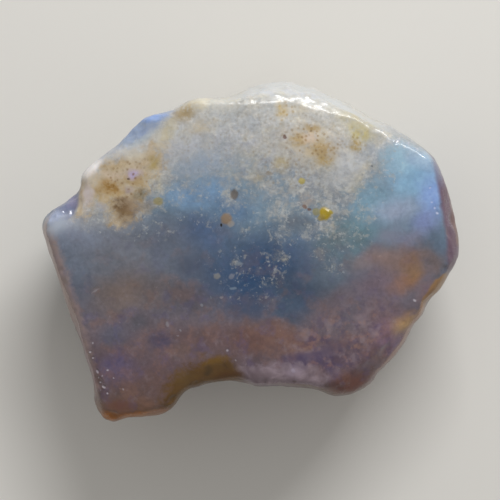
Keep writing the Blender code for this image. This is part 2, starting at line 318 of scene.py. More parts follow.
# %% Measure the regions at each point
REGIONS = {
    # name: softness in mm, outline
    "scoop": (1.0, [(-11.2, 6.7), (-10.0, 7.0), (-9.3, 7.25), (-8.5, 7.4), (-7.6, 7.7), (-7.0, 8.2),
                    (-6.4, 8.9), (-5.9, 9.3), (-5.3, 9.9), (-5.5, 11.5), (-9.0, 11.0), (-12.5, 8.0)]),
    "ledge": (0.3, [(-15.6, 2.0), (-14.5, 1.9), (-13.0, 2.1), (-12.5, 2.5), (-12.25, 3.3), (-12.25, 4.4),
                    (-13.0, 5.0), (-15.6, 3.6)]),
    "ochre": (1.6, [(-12.6, 5.2), (-11.0, 5.3), (-10.3, 6.3), (-9.2, 6.9), (-8.0, 7.0), (-6.9, 7.6),
                    (-6.2, 8.2), (-6.0, 7.2), (-6.2, 5.9), (-7.2, 5.2), (-7.3, 4.4), (-7.9, 3.5),
                    (-8.0, 2.2), (-8.8, 1.6), (-9.8, 2.0), (-10.3, 3.2), (-11.3, 3.4), (-11.8, 2.3),
                    (-12.6, 2.4)]),
    "bevel": (0.5, [(12.7, 7.6), (13.1, 6.4), (13.25, 5.2), (13.45, 4.0), (13.6, 3.0), (13.8, 2.0),
                    (13.97, 1.0), (14.05, 0.0), (14.12, -1.0), (14.1, -1.6), (15.6, -1.2), (15.8, 3.0),
                    (14.0, 7.6)]),
    "bevel_rim": (0.28, [(13.95, 5.6), (14.25, 4.0), (14.5, 2.6), (14.68, 1.4), (14.8, 0.4), (15.6, 0.4),
                         (15.6, 4.0), (14.6, 6.0)]),
    "bay": (1.5, [(-6.2, -11.2), (-6.1, -10.0), (-5.5, -9.1), (-4.8, -8.5), (-3.8, -8.0), (-2.9, -7.65),
                  (-2.0, -7.5), (-1.4, -7.65), (-1.0, -8.05), (-0.65, -8.7), (-0.2, -9.3), (0.2, -10.2),
                  (-5.0, -11.6)]),
    "foot": (0.5, [(-11.6, -11.2), (-10.5, -11.5), (-9.6, -11.7), (-8.2, -11.6), (-7.0, -11.45),
                   (-5.9, -11.45), (-5.5, -12.6), (-11.6, -13.0)]),
    "amber_chip": (0.3, [(14.3, -1.5), (13.7, -1.8), (13.1, -2.2), (12.7, -2.8), (12.3, -3.4),
                         (12.1, -4.2), (11.8, -5.0), (12.6, -5.2), (14.4, -3.4), (14.8, -1.7)]),
    "pale_lobe": (1.3, [(-0.9, -8.0), (0.0, -8.4), (1.6, -8.15), (3.2, -8.1), (4.6, -8.4), (5.6, -9.0),
                        (4.8, -10.4), (0.2, -10.4), (-0.5, -9.2)]),
    # The left rim is painted paler and warm: a glow of light through the thin edge, which also lifts the
    # shade at its arris.
    "left_rim_painted_glow": (0.9, [(-15.5, 2.0), (-14.0, 1.5), (-13.6, 0.2), (-13.05, -1.4), (-12.5, -3.3),
                       (-11.85, -5.2), (-11.4, -6.8), (-11.1, -8.4), (-10.9, -10.0), (-10.9, -11.2),
                       (-12.4, -11.2), (-15.8, -1.0)]),
    "ridge": (1.0, [(-1.6, 10.8), (0.3, 10.8), (1.6, 10.9), (2.8, 11.0), (4.0, 10.7), (5.0, 10.4),
                    (6.3, 10.1), (7.6, 9.75), (9.0, 9.2), (10.3, 8.7), (11.6, 9.0), (8.0, 11.5),
                    (3.0, 13.0), (-1.6, 12.5)]),
}


def share_inside(points_mm, outline, softness):
    """0 well outside the outline, 1 well inside it, seen from above."""
    x, y = points_mm[:, 0], points_mm[:, 1]
    nearest = np.full(len(x), np.inf)
    inside = np.zeros(len(x), bool)
    for (ax, ay), (bx, by) in zip(outline, outline[1:] + outline[:1]):
        along = ((x - ax) * (bx - ax) + (y - ay) * (by - ay)) / ((bx - ax) ** 2 + (by - ay) ** 2)
        along = np.clip(along, 0, 1)
        nearest = np.minimum(nearest, np.hypot(x - ax - along * (bx - ax), y - ay - along * (by - ay)))
        if ay != by:
            crosses = (ay > y) != (by > y)
            inside ^= crosses & (x < ax + (y - ay) / (by - ay) * (bx - ax))
    signed = np.where(inside, nearest, -nearest)
    return np.clip(0.5 + signed / softness, 0, 1)


REGION_DEPTH_MM = (5.8, 8.5)
BEVEL_DEPTH_MM = (2.0, 7.0)
WALL_SOFTENING_MM = 3.0
down_the_wall = 1 - smooth_step(*REGION_DEPTH_MM, places[:, 2])

region_shares = {}
for name, (softness, outline) in REGIONS.items():
    depths = BEVEL_DEPTH_MM if name.startswith("bevel") else REGION_DEPTH_MM
    share = share_inside(places, outline, softness + WALL_SOFTENING_MM * down_the_wall)
    region_shares[name] = share * smooth_step(*depths, places[:, 2])
for name in ("scoop", "ledge", "bevel"):
    crust *= 1 - region_shares[name]
print("regions:", {name: round(float(share.mean()), 3) for name, share in region_shares.items()})

# %% [markdown]
# ## Chips, pits and grain
#
# Broken opal never has a clean arris: small flakes leave it wherever it was knocked. Booleans could cut
# them, but a few dozen cuts on a fine mesh are slow. Instead each flake is a ball that sits partly outside
# the surface, and the points inside the ball are pushed out to its skin, which leaves the same hollow. The
# rest of the relief moves each point along its own normal: soft swells where the face was rubbed, ripples
# and roughness on the broken walls, lumps along the ridge, and grain in the crust.

# %% Strike small flakes off the arrises
FLAKE_SEED = 7
FLAKES = 110
FLAKE_RADIUS_MM = (0.35, 1.3)
FLAKE_DEPTH = (0.05, 0.14)
ARRIS_TILT = (0.35, 0.85)
FLAKE_FLOOR_MM = 1.0

chance = random.Random(FLAKE_SEED)
tilt = normals[:, 2]
off_the_base = places[:, 2] > FLAKE_FLOOR_MM
on_arris = np.nonzero((tilt > ARRIS_TILT[0]) & (tilt < ARRIS_TILT[1]) & off_the_base)[0].tolist()
on_wall = np.nonzero((abs(tilt) < ARRIS_TILT[0]) & off_the_base)[0].tolist()
for number in range(FLAKES):
    at = chance.choice(on_arris if number % 3 else on_wall)
    radius = FLAKE_RADIUS_MM[0] + (FLAKE_RADIUS_MM[1] - FLAKE_RADIUS_MM[0]) * chance.random() ** 2
    depth = radius * chance.uniform(*FLAKE_DEPTH)
    centre = places[at] + normals[at] * (radius - depth)
    away = places - centre
    distance = np.linalg.norm(away, axis=1)
    inside = distance < radius
    places[inside] = centre + away[inside] / np.maximum(distance[inside], 1e-6)[:, None] * radius
print("flakes:", FLAKES)

# %% Raise the soft relief along the normals
RUB_SWELL_MM = (2.4, 0.045)
WALL_LUMP_MM = (1.5, 0.07)
WALL_GRIT_MM = (0.5, 0.035)
CRUST_LUMP_MM = (0.62, 0.035)
CRUST_GRAIN_MM = (0.26, 0.018)
RIDGE_LUMP_MM = (0.8, 0.12)
RIDGE_FALL_MM = 0.3
ARRIS_LUMP_MM = (0.8, 0.02)
RIPPLE_MM = (0.9, 0.016)
RIPPLE_PATCH_MM = 3.0
RIPPLE_REACH = (-0.2, 0.5)
WALL_TURN = (0.25, 0.75)
ARRIS_TURN = (0.02, 0.12)
STRIKE_POINTS_MM = [(-17, 14, 9), (16, -8, 10), (-3, -17, 9), (18, 8, 7), (-19, -6, 8), (6, 17, 6)]


def lumps(points_mm, size_mm):
    """Smooth noise from about -1 to 1 whose lumps are size_mm across."""
    return np.array([noise.noise(Vector(p) / size_mm) for p in points_mm])


turned = 1 - normals[:, 2]
wall = smooth_step(*WALL_TURN, turned)
arris = smooth_step(*ARRIS_TURN, turned) * (1 - wall)
struck = np.stack([np.linalg.norm(places - np.array(p), axis=1) for p in STRIKE_POINTS_MM]).min(0)
where_rippled = wall * smooth_step(*RIPPLE_REACH, lumps(places, RIPPLE_PATCH_MM))
relief = np.sin(math.tau * struck / RIPPLE_MM[0]) * RIPPLE_MM[1] * where_rippled
relief -= region_shares["ridge"] * RIDGE_FALL_MM
for share, (size, height) in [
        (1.0, RUB_SWELL_MM), (wall, WALL_LUMP_MM), (wall, WALL_GRIT_MM), (crust, CRUST_LUMP_MM),
        (crust, CRUST_GRAIN_MM), (region_shares["ridge"], RIDGE_LUMP_MM), (arris, ARRIS_LUMP_MM)]:
    relief += share * lumps(places, size) * height
print("relief in mm:", round(relief.min(), 3), "to", round(relief.max(), 3))

# %% [markdown]
# ## Inclusions and pits, one by one
#
# These are the marks a buyer would know this stone by: a brown seed, a rust ball, a lemon-yellow crystal,
# dots of manganese, and pale specks of sand inside the blue. Two more are painted highlights: a pale line
# along the right arris and a bright spot on the top-right corner. Each is a row of a table with its place and
# size in millimetres, how far it stands up or sinks, its colour, and how much of that colour shows. The
# mesh takes the heights from it here, and the material takes the colours.

# %% The table of small marks
SMALL_MARKS = [
    # name, x, y, half width, half height, turn in degrees, height in mm, colour, strength
    ("brown_seed", -1.12, 3.94, 0.27, 0.36, 5, -0.03, "#665D54", 0.85),
    ("rust_ball", -1.66, 2.20, 0.38, 0.40, 0, 0.04, "#8A7358", 0.85),
    ("rust_tail", -1.36, 1.84, 0.24, 0.20, 40, 0.0, "#9C9388", 0.6),
    ("black_dot", -2.03, 1.76, 0.09, 0.09, 0, -0.03, "#1D1A18", 1.0),
    ("lemon_crystal", 5.30, 2.58, 0.38, 0.44, 20, 0.08, "#A48E22", 1.0),
    ("lemon_wing", 5.62, 2.66, 0.24, 0.17, -10, 0.05, "#9C8A2C", 0.95),
    ("lemon_foot", 5.05, 2.30, 0.26, 0.20, 30, 0.04, "#988540", 0.8),
    ("olive_companion", 4.66, 2.70, 0.24, 0.26, 0, 0.02, "#8C8450", 0.7),
    ("small_lemon", 3.66, 4.88, 0.22, 0.20, 0, 0.03, "#A89A4C", 0.85),
    ("olive_eye", -6.50, 3.46, 0.34, 0.28, 0, 0.02, "#8E8248", 0.7),
    ("brown_pair_left", 3.88, 3.06, 0.19, 0.14, -35, -0.03, "#7A5A48", 0.7),
    ("brown_pair_right", 4.18, 2.86, 0.12, 0.11, 0, -0.03, "#6B4B3C", 0.8),
    ("dot_top_centre", 2.45, 8.02, 0.13, 0.15, 0, -0.05, "#6A4C40", 0.85),
    ("dot_top_right", 4.30, 8.42, 0.10, 0.09, 0, -0.03, "#85704E", 0.7),
    ("dot_right", 8.65, 5.93, 0.08, 0.09, 0, -0.03, "#3A383C", 0.9),
    ("dot_left", -8.60, 5.05, 0.14, 0.10, 0, -0.04, "#5A4834", 0.85),
    ("dot_left_low", -7.70, 3.95, 0.11, 0.08, 30, -0.03, "#6A5A40", 0.7),
    ("smear_upper", 1.35, 5.40, 0.26, 0.13, 0, -0.02, "#8F8474", 0.6),
    ("speck_heart", -1.30, -1.86, 0.20, 0.18, 20, 0.02, "#8A8D98", 0.55),
    ("speck_yellow", -2.35, -1.85, 0.24, 0.20, 0, 0.02, "#8C8A84", 0.65),
    ("speck_b", -0.78, -0.98, 0.26, 0.14, 0, 0.02, "#8A929A", 0.5),
    ("speck_d", -1.20, -2.72, 0.24, 0.09, 5, 0.01, "#8090A0", 0.55),
    ("speck_e", -2.02, -3.36, 0.14, 0.09, 0, 0.02, "#8E8A92", 0.6),
    ("speck_f", -3.42, -3.90, 0.10, 0.11, 0, 0.02, "#84868F", 0.6),
    ("speck_g", -5.85, -5.28, 0.12, 0.19, 0, 0.03, "#8C8890", 0.6),
    ("speck_h", -4.95, -5.68, 0.07, 0.10, 30, 0.02, "#8E8A92", 0.6),
    ("speck_i", -5.10, -6.08, 0.09, 0.05, 0, 0.02, "#8A8490", 0.5),
    ("streak_left", -11.00, -2.92, 0.40, 0.09, 32, 0.02, "#8E8A90", 0.6),
    ("speck_n", 3.05, -8.56, 0.16, 0.14, 0, 0.03, "#A096A8", 0.7),
    ("speck_foot_a", 1.05, -9.42, 0.14, 0.12, 0, -0.03, "#4C3A40", 0.6),
    ("speck_foot_b", 3.15, -9.36, 0.20, 0.12, 0, -0.03, "#54423E", 0.6),
    # A pale line painted along the right arris as a highlight on its rounding.
    ("arris_painted_highlight", 14.10, -0.50, 0.05, 0.75, -2, 0.0, "#9C8E9C", 0.6),
    # A bright spot painted on the top-right corner as a highlight, with no relief of its own.
    ("corner_painted_glint", 10.50, 7.75, 0.30, 0.20, -12, 0.0, "#DDE4EC", 0.85),
]
MARK_FALL = (0.5, 1.15)

for name, x, y, half_x, half_y, turn, height, colour, strength in SMALL_MARKS:
    across = places[:, :2] - np.array((x, y))
    c, s = math.cos(math.radians(turn)), math.sin(math.radians(turn))
    u = (across[:, 0] * c + across[:, 1] * s) / half_x
    v = (across[:, 1] * c - across[:, 0] * s) / half_y
    relief += height * (1 - smooth_step(*MARK_FALL, np.hypot(u, v))) * (places[:, 2] > MARK_FLOOR_MM)
print("small marks:", len(SMALL_MARKS))

# %% Press the bruises, move the points, and store the masks
REST_HEIGHT_MM = 0.35
LEAST_FACING = 0.6
BRUISE_STEP = 0.5
BRUISE_SEED = 3
BRUISE_SQUEEZE = (0.4, 0.9)
BRUISE_FALL = (0.4, 1.0)
bruise_white_and_glint = np.zeros(len(places))
half_way = np.array((towards_box + Vector((0, 0, 1))).normalized())
facing = normals @ half_way

chance = random.Random(BRUISE_SEED)
for x, y, half in GLINTS:
    turn, squeeze = chance.uniform(0, math.pi), chance.uniform(*BRUISE_SQUEEZE)
    across = places[:, :2] - np.array((x, y))
    u = across[:, 0] * math.cos(turn) + across[:, 1] * math.sin(turn)
    v = (across[:, 1] * math.cos(turn) - across[:, 0] * math.sin(turn)) / squeeze
    away = np.hypot(u, v) / half
    near = (away < 1) & (places[:, 2] > MARK_FLOOR_MM) & (facing > LEAST_FACING)
    middle = places[near].mean(0)
    to_facet = -((places[near] - middle) @ half_way) / facing[near]
    to_facet = np.clip(to_facet, -BRUISE_STEP * half, BRUISE_STEP * half)
    share = 1 - smooth_step(*BRUISE_FALL, away[near])
    relief[near] = relief[near] * (1 - share) + to_facet * share
    bruise_white_and_glint[near] = np.maximum(bruise_white_and_glint[near], share ** 2)

relief *= smooth_step(0.0, REST_HEIGHT_MM, places[:, 2])
lowest, highest = (np.array(corner) / MM for corner in CAD_BOX)
moved = np.clip(places + normals * relief[:, None], lowest, highest)
fine.vertices.foreach_set("co", (moved * MM).astype(np.float32).ravel())
for name, values in {"crust": crust, "wall": wall, "bruise_white_and_glint": bruise_white_and_glint, **region_shares}.items():
    fine.attributes.new(name, "FLOAT", "POINT").data.foreach_set("value", values.astype(np.float32))
fine.shade_smooth()
fine.update()
print("stone in mm:", np.round(moved.max(0) - moved.min(0), 2))

# %% [markdown]
# ## The clouds in the opal
#
# Precious opal is packed silica spheres in water-clear silica. The spheres scatter blue back to the eye, so
# the thick of the stone looks steel blue, and what light comes through from behind is left orange, so thin
# edges and the lower part look warm. A volume shader could do it, at a great cost in noise. Here the clouds
# are painted in three dimensions: each is a soft ellipsoid with a place, a size and a colour, laid over the
# last one like a glaze. Noise bends the space first, so that no edge is a clean oval.

# %% The table of clouds
CLOUD_DEPTH_MM = 6.0
FACE_HEIGHT_MM = 10.0
CLOUDS = [
    # name, x, y, half width, half height, turn, colour, strength, softness
    ("grey_left", -9.5, 0.2, 8.0, 4.0, -8, "#747781", 0.95, 1.0),
    ("pale_left", -12.4, 1.4, 3.6, 2.4, 10, "#858EA2", 0.95, 1.0),
    ("veil_left", -11.2, 2.3, 4.6, 1.4, -5, "#989A9E", 0.8, 1.0),
    ("slate_left_edge", -13.0, -0.9, 2.0, 2.6, 15, "#6C7585", 0.8, 1.0),
    ("slate_middle", -5.2, 0.8, 4.2, 3.0, 10, "#5C6474", 0.9, 1.0),
    ("slate_blue", -3.2, 1.2, 2.8, 2.4, 0, "#4C6182", 0.95, 1.0),
    ("steel_heart", 0.6, -1.8, 6.0, 4.4, 10, "#2E4C70", 1.0, 0.9),
    ("steel_right", 3.0, -3.0, 3.6, 2.6, 0, "#405168", 0.9, 0.9),
    ("steel_tip", 2.6, -4.2, 1.8, 1.6, 0, "#45576E", 0.8, 0.8),
    ("slate_right", 5.6, -1.4, 2.8, 2.2, 0, "#5D6A78", 0.9, 1.0),
    ("sky_left", -3.6, 3.9, 3.8, 1.8, 8, "#7190B0", 1.0, 0.8),
    ("sky_middle", -1.2, 3.0, 2.4, 1.5, 0, "#5F7A98", 0.95, 0.9),
    ("sky_right", 1.6, 3.6, 3.0, 1.8, 0, "#768C9E", 0.85, 0.9),
    ("slate_under_sand", 3.2, 2.0, 2.2, 1.2, 0, "#666C74", 0.7, 1.0),
    ("teal_right", 7.2, 1.2, 3.4, 2.2, 25, "#627E88", 0.95, 0.8),
    ("teal_low", 6.0, 0.4, 2.4, 1.5, 0, "#60717A", 0.8, 0.9),
    ("sea_green", 8.8, 3.2, 2.4, 2.6, 20, "#7C9EB2", 0.85, 0.9),
    ("ice_blue", 11.6, 5.2, 3.0, 2.8, 0, "#85AAC6", 1.0, 0.8),
    ("ice_pale", 10.4, 6.6, 2.0, 1.6, -20, "#96B5C8", 0.9, 0.8),
    ("ice_edge", 12.2, 6.5, 1.6, 0.9, -35, "#A6BDD4", 0.7, 0.8),
    ("haze", 10.6, 2.8, 2.8, 1.6, 10, "#9AA6BE", 0.85, 0.9),
    ("periwinkle", 12.8, 3.6, 1.4, 2.8, 4, "#86A2D4", 1.0, 0.9),
    ("periwinkle_low", 12.7, 1.8, 1.5, 1.4, 0, "#828EBA", 0.8, 0.9),
    ("violet_under_haze", 11.4, 1.0, 2.2, 0.9, 0, "#7A7E95", 0.85, 0.9),
    ("shore", 8.6, -0.5, 3.0, 1.2, 25, "#7C767A", 0.9, 0.9),
    ("rose_shore", 9.9, -0.2, 3.2, 1.2, 14, "#8A7470", 0.8, 0.9),
    ("mauve_right", 9.3, -2.4, 4.2, 2.4, 20, "#6F606B", 0.95, 0.9),
    ("warm_right", 11.4, -0.8, 3.0, 1.5, 8, "#846A5E", 0.95, 0.9),
    ("amber_right", 11.2, -2.2, 2.2, 1.2, 20, "#8E6A56", 0.95, 0.9),
    ("amber_glow", 11.7, -1.6, 1.2, 1.2, -10, "#927044", 0.6, 1.0),
    ("olive_right", 13.2, -1.2, 0.9, 1.1, 0, "#6E605F", 0.85, 0.9),
    ("mauve_edge", 12.6, -3.2, 1.5, 1.7, -30, "#77656A", 0.95, 0.8),
    ("rose_right", 9.6, -4.6, 3.2, 1.8, 20, "#756066", 0.9, 0.9),
    ("brown_middle", 5.6, -4.2, 3.4, 2.0, 35, "#6B5F67", 0.95, 0.9),
    ("rust_right", 2.2, -6.1, 4.2, 1.4, -6, "#745850", 1.0, 0.8),
    ("rust_middle", -0.2, -6.6, 2.6, 1.2, 0, "#6F524C", 0.9, 0.9),
    ("rust_left", -3.0, -6.4, 3.4, 1.3, 5, "#6A5352", 0.9, 0.9),
    ("brown_left", -8.9, -2.9, 3.8, 2.6, 15, "#756660", 0.95, 0.9),
    ("brown_second", -6.6, -3.0, 2.6, 1.5, 0, "#696062", 0.85, 0.9),
    ("plum_middle", -4.4, -3.6, 2.6, 1.6, 0, "#58535A", 0.85, 0.9),
    ("blue_low_left", -9.8, -6.0, 2.2, 1.3, 0, "#5C5C6C", 0.85, 0.9),
    ("blue_low_middle", -8.0, -5.4, 1.1, 0.9, 0, "#555661", 0.7, 0.9),
    ("violet_low_left", -9.4, -8.6, 2.4, 2.0, 0, "#635875", 0.95, 0.9),
    ("violet_low_middle", -6.2, -6.5, 1.5, 1.1, 0, "#4C465E", 0.9, 0.9),
    ("pink_low_middle", -6.6, -9.4, 2.0, 1.6, 0, "#69524F", 0.9, 0.9),
    ("pink_second", -4.6, -7.3, 1.8, 1.0, 0, "#6D5854", 0.8, 0.9),
    ("violet_right", 6.4, -7.4, 3.4, 1.4, 15, "#584656", 0.85, 0.9),
    ("rose_low_right", 9.2, -7.0, 2.6, 2.0, 35, "#6A5258", 0.9, 0.9),
    ("mauve_low_right", 7.4, -6.4, 2.2, 1.2, 10, "#6A5A60", 0.8, 0.9),
    ("violet_lobe", 3.2, -7.8, 2.8, 0.8, 8, "#544660", 0.9, 0.9),
    ("violet_lobe_left", 1.2, -7.6, 1.5, 0.6, 0, "#625257", 0.8, 0.9),
    ("brown_lobe", 7.4, -9.6, 2.8, 1.4, 15, "#642F1E", 0.95, 0.9),
    ("wine_low_right", 10.3, -6.3, 1.6, 2.4, 45, "#8A6E84", 0.9, 0.9),
    ("honey_spot", 11.2, -5.2, 1.6, 1.1, 30, "#BE9A6C", 1.0, 0.9),
]
SIDE_CLOUDS = [
    # name, height, half depth, x, y, half width, half height, turn, colour, strength, softness
    ("front_amber", 3.0, 3.4, -6.0, -10.5, 5.5, 3.0, 5, "#7E5C38", 0.9, 1.0),
    ("front_violet", 6.4, 3.0, 1.0, -9.2, 5.0, 3.0, 0, "#6A5C70", 0.9, 1.0),
    ("front_rust", 2.4, 3.0, 6.5, -9.5, 4.5, 3.0, 10, "#7A5646", 0.9, 1.0),
    ("front_blue", 4.5, 3.0, 10.5, -5.5, 3.0, 3.5, 30, "#63687C", 0.8, 1.0),
    ("right_amber", 4.0, 3.6, 14.0, -1.5, 3.0, 4.0, 0, "#84684C", 0.9, 1.0),
    ("right_grey", 2.6, 2.8, 13.5, 4.0, 3.0, 3.6, 0, "#77788A", 0.9, 1.0),
    ("left_blue", 5.0, 3.4, -13.8, -1.5, 2.6, 4.5, 15, "#67748A", 0.9, 1.0),
    ("left_amber", 2.4, 2.6, -12.4, -6.0, 2.6, 4.5, 15, "#7C6658", 0.9, 1.0),
    ("back_grey", 2.2, 2.6, 4.0, 10.0, 8.0, 4.0, -10, "#8E8E8C", 0.9, 1.0),
    ("base_potch", 0.0, 2.2, 0.0, 0.0, 18.0, 14.0, 0, "#6E6A70", 0.7, 1.0),
]
print("clouds:", len(CLOUDS) + len(SIDE_CLOUDS))

# %% [markdown]
# ## The material: rubbed precious opal
#
# Opal is hydrated silica. It isn't a metal, and it bends light less than quartz does, with an index of
# 1.45. A rubbed face is glossy but not mirror bright, and light sinks about half a millimetre into the
# milky body before it comes back, which softens every edge. The crust is cemented sand, so it is duller.
# The nodes build up in the order that a painter would work: ground, clouds, mottle, veil, sand, stains,
# marks. Cycles holds no more than 255 numbers at once for a material and turns the stone black beyond that.
# Each cloud takes one of them, so with about 180 clouds and marks these tables are nearly full.

# %% Start the material with its place in millimetres
OPAL_IOR = 1.45
MILK_SHARE = 0.25
MILK_DEPTH = 0.6 * MM
MILK_SPREAD = (1.0, 0.8, 0.65)
COAT_SHARE = 0.25
COAT_ROUGHNESS = 0.1

opal = bpy.data.materials.new("rubbed_precious_opal")
opal.use_nodes = True
tree = opal.node_tree
shader = tree.nodes["Principled BSDF"]
for socket, value in {
        "IOR": OPAL_IOR, "Metallic": 0.0, "Subsurface Weight": MILK_SHARE, "Subsurface Scale": MILK_DEPTH,
        "Subsurface Radius": MILK_SPREAD, "Coat Weight": COAT_SHARE, "Coat Roughness": COAT_ROUGHNESS,
        "Coat IOR": OPAL_IOR}.items():
    shader.inputs[socket].default_value = value

MATH, RANGE, MIX, NOISE = "ShaderNodeMath", "ShaderNodeMapRange", "ShaderNodeMix", "ShaderNodeTexNoise"
VECTOR_MATH, RAMP = "ShaderNodeVectorMath", "ShaderNodeValToRGB"
ADD, SUBTRACT, MULTIPLY = ({"operation": name} for name in ("ADD", "SUBTRACT", "MULTIPLY"))
SCALE, EASE = {"operation": "SCALE"}, {"interpolation_type": "SMOOTHSTEP"}
GLAZE = {"data_type": "RGBA", "clamp_factor": True}
SHADE = {"data_type": "RGBA", "clamp_factor": True, "blend_type": "OVERLAY"}
FACTOR, UNDER, OVER, GLAZED = 0, 6, 7, 2

place = add_node(tree, "ShaderNodeTexCoord", {}, {}, "Object")
place_mm = add_node(tree, VECTOR_MATH, SCALE, {0: place, "Scale": 1 / MM})
share_of = {name: add_node(tree, "ShaderNodeAttribute", {"attribute_name": name}, {}, "Fac")
            for name in ("crust", "wall", "bruise_white_and_glint", *REGIONS)}
print("masks:", len(share_of))

# %% [markdown]
# ## Bent space
#
# Two sizes of noise push each place aside before the clouds are laid on it: a broad one that makes the
# clouds wander, and a fine one that frays them. It costs few nodes, and it is what turns ovals into
# weather. Stains and accents have to stay where they are, so they lie in the space that is only frayed.

# %% Bend the space that the clouds lie in
WANDER_MM = (3.2, 1.8)
FRAY_MM = (0.8, 0.55)
MARK_FRAY_MM = (0.3, 0.2)


def bend(where, size_mm, reach_mm):
    """The place moved by up to about half of reach_mm each way, by noise of that size."""
    push = add_node(tree, NOISE, {}, {"Vector": where, "Scale": 1 / size_mm, "Detail": 2.0}, "Color")
    centred = add_node(tree, VECTOR_MATH, SUBTRACT, {0: push, 1: (0.5, 0.5, 0.5)})
    scaled = add_node(tree, VECTOR_MATH, SCALE, {0: centred, "Scale": reach_mm})
    return add_node(tree, VECTOR_MATH, ADD, {0: where, 1: scaled})


bent = bend(bend(place_mm, *WANDER_MM), *FRAY_MM)
frayed = bend(place_mm, *FRAY_MM)
mark_place = bend(place_mm, *MARK_FRAY_MM)
bent_y = add_node(tree, "ShaderNodeSeparateXYZ", {}, {0: bent}, "Y")

# %% Lay the ground colours, from the warm foot to the pale top, with painted shade darkening them downwards
SPAN_MM = (-13.0, 13.0)
# The ground grows darker downwards partly in the stone's own colour and partly as painted shade, for light
# from the top.
GROUND_WITH_PAINTED_SHADE = [
    # height up the face in mm, colour
    (-12.5, "#7A5432"), (-10.5, "#68524E"), (-8.0, "#67555B"), (-5.5, "#6B5F66"), (-3.0, "#5E6270"),
    (0.0, "#5D6D81"), (3.0, "#708799"), (5.5, "#8797A4"), (8.0, "#A2A6A8"), (12.0, "#CAC8BE"),
]
CRUST_GROUND = [
    (0.0, "#7B7E84"), (3.0, "#878A8E"), (5.5, "#8F939A"), (7.5, "#ADAFB5"), (9.0, "#BCBDBE"),
    (10.6, "#C4C1B8"), (12.0, "#C6C4BC"),
]

up_the_face = add_node(tree, RANGE, {}, {"Value": bent_y, "From Min": SPAN_MM[0], "From Max": SPAN_MM[1]})


def height_colours(stops):
    """A colour for each height up the face, blended between the stops."""
    colour = add_node(tree, RAMP, {}, {"Fac": up_the_face}, "Color")
    elements = colour.node.color_ramp.elements
    for number, (height, hex_colour) in enumerate(stops):
        at = (height - SPAN_MM[0]) / (SPAN_MM[1] - SPAN_MM[0])
        element = elements[0] if number == 0 else elements.new(at)
        element.position = at
        element.color = linear(hex_colour)
    elements.remove(elements[-1])
    return colour


body = height_colours(GROUND_WITH_PAINTED_SHADE)

# %% Glaze the clouds over the ground
def lay_cloud(under, where, cloud, depth_mm=CLOUD_DEPTH_MM, height_mm=FACE_HEIGHT_MM, held_by=None):
    """Glazes one soft ellipsoid of colour over what is under it, where held_by lets it."""
    x, y, half_x, half_y, turn, colour, strength, softness = cloud
    local = add_node(tree, "ShaderNodeMapping", {"vector_type": "TEXTURE"}, {
        "Vector": where,
        "Location": (x, y, height_mm),
        "Rotation": (0, 0, math.radians(turn)),
        "Scale": (half_x, half_y, depth_mm),
    })
    fall = add_node(tree, "ShaderNodeTexGradient", {"gradient_type": "SPHERICAL"}, {"Vector": local}, "Fac")
    mask = add_node(tree, RANGE, EASE, {"Value": fall, "From Max": softness, "To Max": strength})
    if held_by:
        mask = add_node(tree, MATH, MULTIPLY, {0: mask, 1: held_by})
    return add_node(tree, MIX, GLAZE, {FACTOR: mask, UNDER: under, OVER: linear(colour)}, GLAZED)


for name, height, depth, *cloud in SIDE_CLOUDS:
    body = lay_cloud(body, bent, cloud, depth, height)
for name, *cloud in CLOUDS:
    body = lay_cloud(body, bent, cloud)
print("nodes so far:", len(tree.nodes))

# %% [markdown]
# ## Mottle
#
# Seen close, the clear stone is full of faint curds and threads. Soft noises lighten and darken it, and
# push it towards brown and violet in turn, as the light from behind does. A finer one breeds small violet
# flecks and pale curds in the lower right, where the stone is full of them. The noise is turned out of line
# with the face, so that its hidden grid doesn't show.

# %% Mottle the clear stone
MOTTLES = [
    # size in mm, detail, from, to, strength, colour
    (1.5, 4.0, 0.50, 0.66, 0.32, "#8A6656"),
    (1.2, 4.0, 0.51, 0.68, 0.28, "#544E7C"),
    (0.6, 4.0, 0.52, 0.70, 0.16, "#8A8490"),
    (0.36, 3.0, 0.54, 0.72, 0.14, "#4A4456"),
]
MOTTLE_SPAN_MM = (-6.5, 2.5)
LEAST_MOTTLE = 0.15
NOISE_SHIFT_MM = (11.0, 13.0)
SHADE_SHARE = 0.22
NOISE_TURN = (0.6, 0.9, 1.2)
SHADE_MM = (1.1, 0.28)
FLECK_REGION = (6.4, -6.4, 6.4, 3.4, 15)
FLECKS = [
    # size in mm, from, to, strength, colour
    (0.9, 0.42, 0.68, 0.60, "#483C5A"),
    (0.9, 0.44, 0.70, 0.52, "#9A8A90"),
    (0.5, 0.50, 0.70, 0.45, "#9A7466"),
]

low_down = add_node(tree, RANGE, {}, {
    "Value": bent_y, "From Min": MOTTLE_SPAN_MM[0], "From Max": MOTTLE_SPAN_MM[1],
    "To Min": 1.0, "To Max": LEAST_MOTTLE})
for number, (size, detail, low, high, strength, colour) in enumerate(MOTTLES):
    aside = add_node(tree, "ShaderNodeMapping", {}, {
        "Vector": place_mm, "Location": (NOISE_SHIFT_MM[0] * number, 0, 0), "Rotation": NOISE_TURN})
    curd = add_node(tree, NOISE, {}, {
        "Vector": aside, "Scale": 1 / size, "Detail": detail, "Roughness": 0.6})
    amount = add_node(tree, RANGE, EASE, {
        "Value": curd, "From Min": low, "From Max": high, "To Max": strength})
    held = add_node(tree, MATH, MULTIPLY, {0: amount, 1: low_down})
    body = add_node(tree, MIX, GLAZE, {FACTOR: held, UNDER: body, OVER: linear(colour)}, GLAZED)
for size in SHADE_MM:
    curd = add_node(tree, NOISE, {}, {"Vector": frayed, "Scale": 1 / size, "Detail": 1.5, "Roughness": 0.6})
    body = add_node(tree, MIX, SHADE, {FACTOR: SHADE_SHARE, UNDER: body, OVER: curd}, GLAZED)

